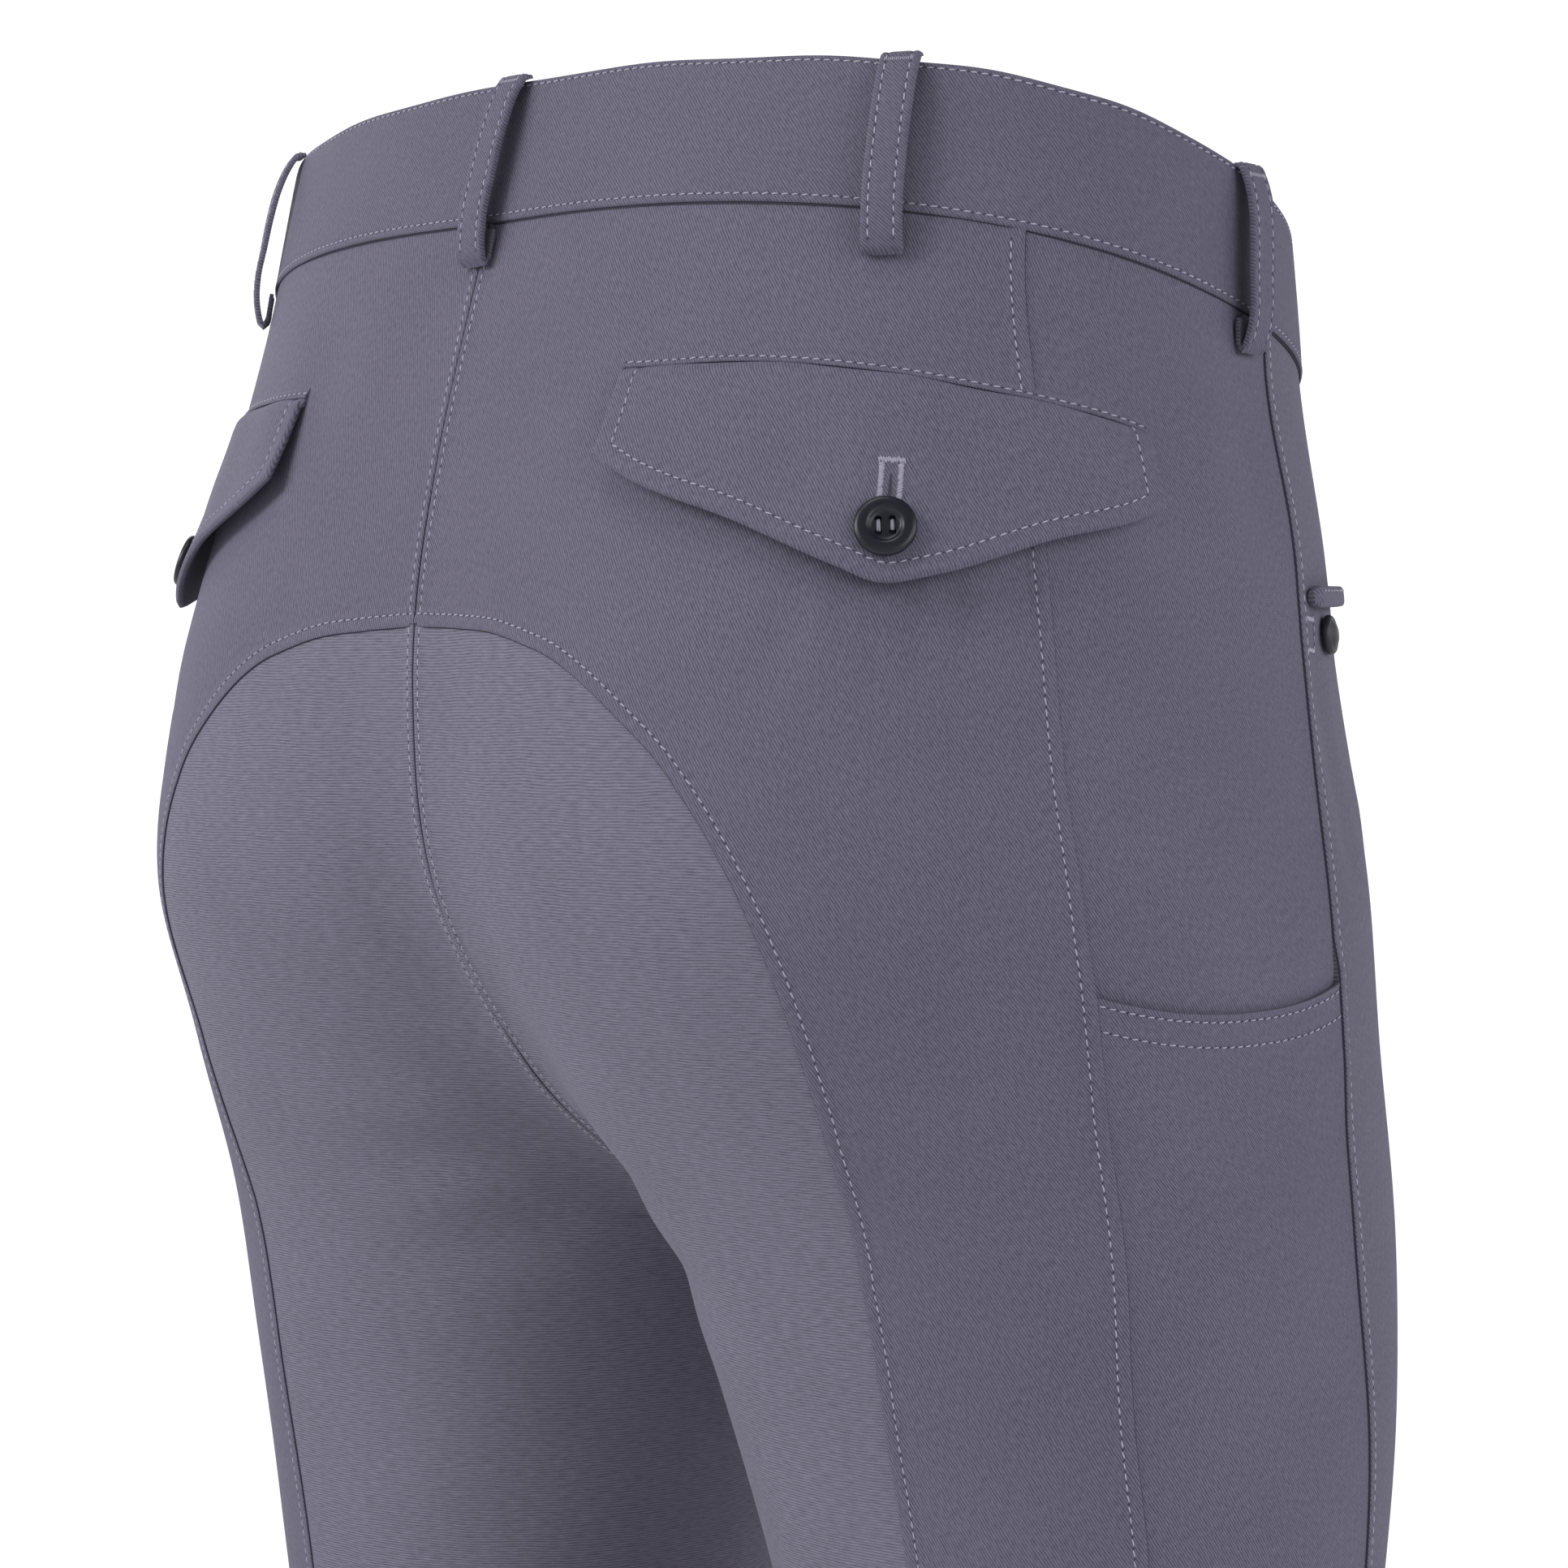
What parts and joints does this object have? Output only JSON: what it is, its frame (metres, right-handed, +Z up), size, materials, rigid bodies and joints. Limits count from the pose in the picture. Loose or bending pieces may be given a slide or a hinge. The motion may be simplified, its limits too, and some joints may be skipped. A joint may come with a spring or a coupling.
{
  "type": "riding breeches",
  "caption": "Full-seat riding breeches in slate twill with belt loops, pointed back pocket flaps, a ribbed seat and thigh pockets.",
  "frame": {"origin": "middle of the waist, at the top of the waistband's sides, where the wearer's waist holds the garment", "axes": "+Z up along the body, the front faces -Y, the wearer's right is -X"},
  "size_m": [0.3816, 0.2511, 0.9779],
  "materials": {
    "cloth": "stretch twill",
    "seat_cloth": "fine ribbed stretch cloth",
    "band_cloth": "stretch twill",
    "button": "satin resin",
    "snap": "satin enamel"
  },
  "bodies": {
    "root": {"back_l": "cloth", "back_r": "cloth", "cuff_l": "seat_cloth", "cuff_r": "seat_cloth", "flap_button_l": "button", "flap_button_r": "button", "flap_l": "cloth", "flap_r": "cloth", "fly": "cloth", "front_l": "cloth", "front_r": "cloth", "hip_lip_l": "cloth", "hip_lip_r": "cloth", "hip_snap_l": "snap", "hip_snap_r": "snap", "loop_back_l": "band_cloth", "loop_back_r": "band_cloth", "loop_centre_back": "band_cloth", "loop_front_l": "band_cloth", "loop_front_r": "band_cloth", "loop_side_l": "band_cloth", "loop_side_r": "band_cloth", "seat_l": "seat_cloth", "seat_r": "seat_cloth", "side_l": "cloth", "side_r": "cloth", "thigh_pocket_l": "cloth", "thigh_pocket_r": "cloth", "waist_button": "button", "waistband": "band_cloth"}
  },
  "joints": []
}
